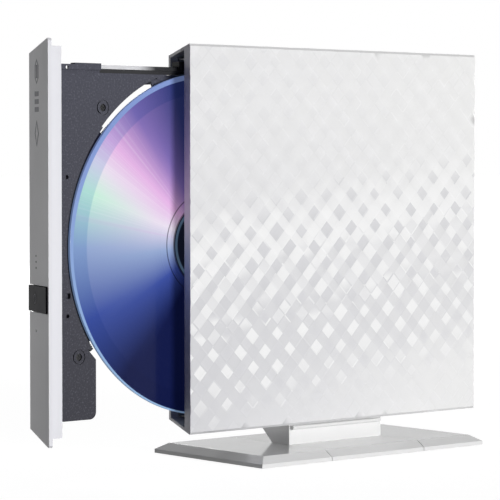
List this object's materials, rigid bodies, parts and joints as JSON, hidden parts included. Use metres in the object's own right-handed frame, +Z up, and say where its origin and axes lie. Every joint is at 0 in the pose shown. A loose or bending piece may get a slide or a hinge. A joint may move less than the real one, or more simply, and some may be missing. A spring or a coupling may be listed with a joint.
{
  "type": "external optical disc drive",
  "caption": "Slim external disc drive standing upright on a plate stand, with a sliding disc tray partly open.",
  "frame": {"origin": "centre of the stand's underside, on the desk", "axes": "+Z up, the tray opens towards -Y, the patterned cover faces +X"},
  "size_m": [0.06, 0.2011, 0.1467],
  "materials": {
    "white_gloss": "glossy white moulded plastic with soft edges",
    "stand_screw_steel": "zinc-plated steel",
    "foot_rubber": "grey rubber",
    "pad_rubber": "pale soft rubber",
    "white_case": "satin white moulded plastic",
    "patterned_white": "glossy white plastic with a woven diamond relief",
    "screw_steel": "steel",
    "socket_steel": "tin-plated steel",
    "black_plastic": "black plastic",
    "circuit_green": "green solder mask",
    "chip_black": "black moulded epoxy",
    "drive_steel": "galvanised sheet steel",
    "guide_plastic": "dark grey acetal",
    "ribbon_amber": "amber polyimide",
    "spring_steel": "spring steel",
    "rail_steel": "polished steel",
    "tray_grey": "dark grey textured plastic",
    "light_lens": "clear acrylic",
    "motor_steel": "plated steel",
    "solenoid_copper": "enamelled copper winding",
    "button_charcoal": "charcoal plastic",
    "lever_plastic": "natural acetal",
    "sled_metal": "die-cast zinc and aluminium",
    "lens_glass": "clear moulded lens",
    "turntable_black": "black plastic with a rubber top",
    "disc_polycarbonate": "polycarbonate over a blue-violet recording layer"
  },
  "bodies": {
    "stand": {"stand_bar": "white_gloss", "stand_wing_front": "white_gloss", "stand_wing_rear": "white_gloss", "stand_screws": "stand_screw_steel", "stand_feet": "foot_rubber", "cradle_pad": "pad_rubber", "cradle_lip": "white_gloss"},
    "case": {"top_cover": "patterned_white", "bottom_cover": "white_case", "rear_panel": "white_case", "case_feet": "foot_rubber", "case_screws": "screw_steel", "rear_screws": "screw_steel", "usb_socket": "socket_steel", "usb_tongue": "black_plastic", "bridge_board": "circuit_green", "bridge_chips": "chip_black", "drive_link": "black_plastic", "drive_pan": "drive_steel", "drive_lid": "drive_steel", "lid_screws": "screw_steel", "rail_guide_upper": "guide_plastic", "rail_guide_lower": "guide_plastic", "main_board": "circuit_green", "main_chips": "chip_black", "ribbon_cable": "ribbon_amber", "eject_pusher": "guide_plastic", "eject_spring": "spring_steel"},
    "upper_rail": {"middle_rail_upper": "rail_steel"},
    "lower_rail": {"middle_rail_lower": "rail_steel"},
    "tray": {"tray": "tray_grey", "tray_cover": "drive_steel", "tray_rail_upper": "rail_steel", "tray_rail_lower": "rail_steel", "tray_screws": "screw_steel", "cover_screws": "screw_steel", "bezel": "white_case", "light_pipes": "light_lens", "eject_switch": "black_plastic", "spindle_motor": "motor_steel", "guide_rods": "rail_steel", "sled_motor": "motor_steel", "solenoid": "solenoid_copper", "latch_pin": "screw_steel"},
    "button": {"eject_button": "button_charcoal"},
    "latch": {"latch_lever": "lever_plastic"},
    "screw": {"lead_screw": "rail_steel"},
    "pickup": {"pickup_sled": "sled_metal", "pickup_lens": "lens_glass"},
    "spindle": {"turntable": "turntable_black", "clamp_balls": "rail_steel", "disc": "disc_polycarbonate"}
  },
  "joints": [
    {"name": "drive_lift", "type": "slide", "parent": "stand", "child": "case", "axis": [0, 0, 1], "range_m": [0, 0.04]},
    {"name": "tray_slide", "type": "slide", "parent": "case", "child": "tray", "axis": [0, -1, 0], "range_m": [-0.0582, 0.0768]},
    {"name": "upper_rail_slide", "type": "slide", "parent": "case", "child": "upper_rail", "axis": [0, -1, 0], "range_m": [-0.0292, 0.0385]},
    {"name": "lower_rail_slide", "type": "slide", "parent": "case", "child": "lower_rail", "axis": [0, -1, 0], "range_m": [-0.0292, 0.0385]},
    {"name": "disc_spin", "type": "hinge", "parent": "tray", "child": "spindle", "pos_m": [0, -0.0547, 0.0769], "axis": [1, 0, 0], "continuous": true},
    {"name": "pickup_slide", "type": "slide", "parent": "tray", "child": "pickup", "axis": [0, 0.6947, 0.7193], "range_m": [0, 0.032]},
    {"name": "lead_screw_turn", "type": "hinge", "parent": "tray", "child": "screw", "pos_m": [-0.0052, -0.01743, 0.09318], "axis": [0, 0.6947, 0.7193], "range_deg": [-1, 3850]},
    {"name": "eject_press", "type": "slide", "parent": "tray", "child": "button", "axis": [0, 1, 0], "range_m": [0, 0.0005], "stiffness_N_per_m": 400},
    {"name": "latch_turn", "type": "hinge", "parent": "tray", "child": "latch", "pos_m": [-0.0058, -0.1152, 0.0245], "axis": [1, 0, 0], "range_deg": [0, 12], "stiffness_Nm_per_rad": 0.01}
  ],
  "couplings": [
    {"joint": "upper_rail_slide", "follows": "tray_slide", "ratio": 0.5},
    {"joint": "lower_rail_slide", "follows": "tray_slide", "ratio": 0.5},
    {"joint": "lead_screw_turn", "follows": "pickup_slide", "rad_per_m": 2094.4}
  ]
}
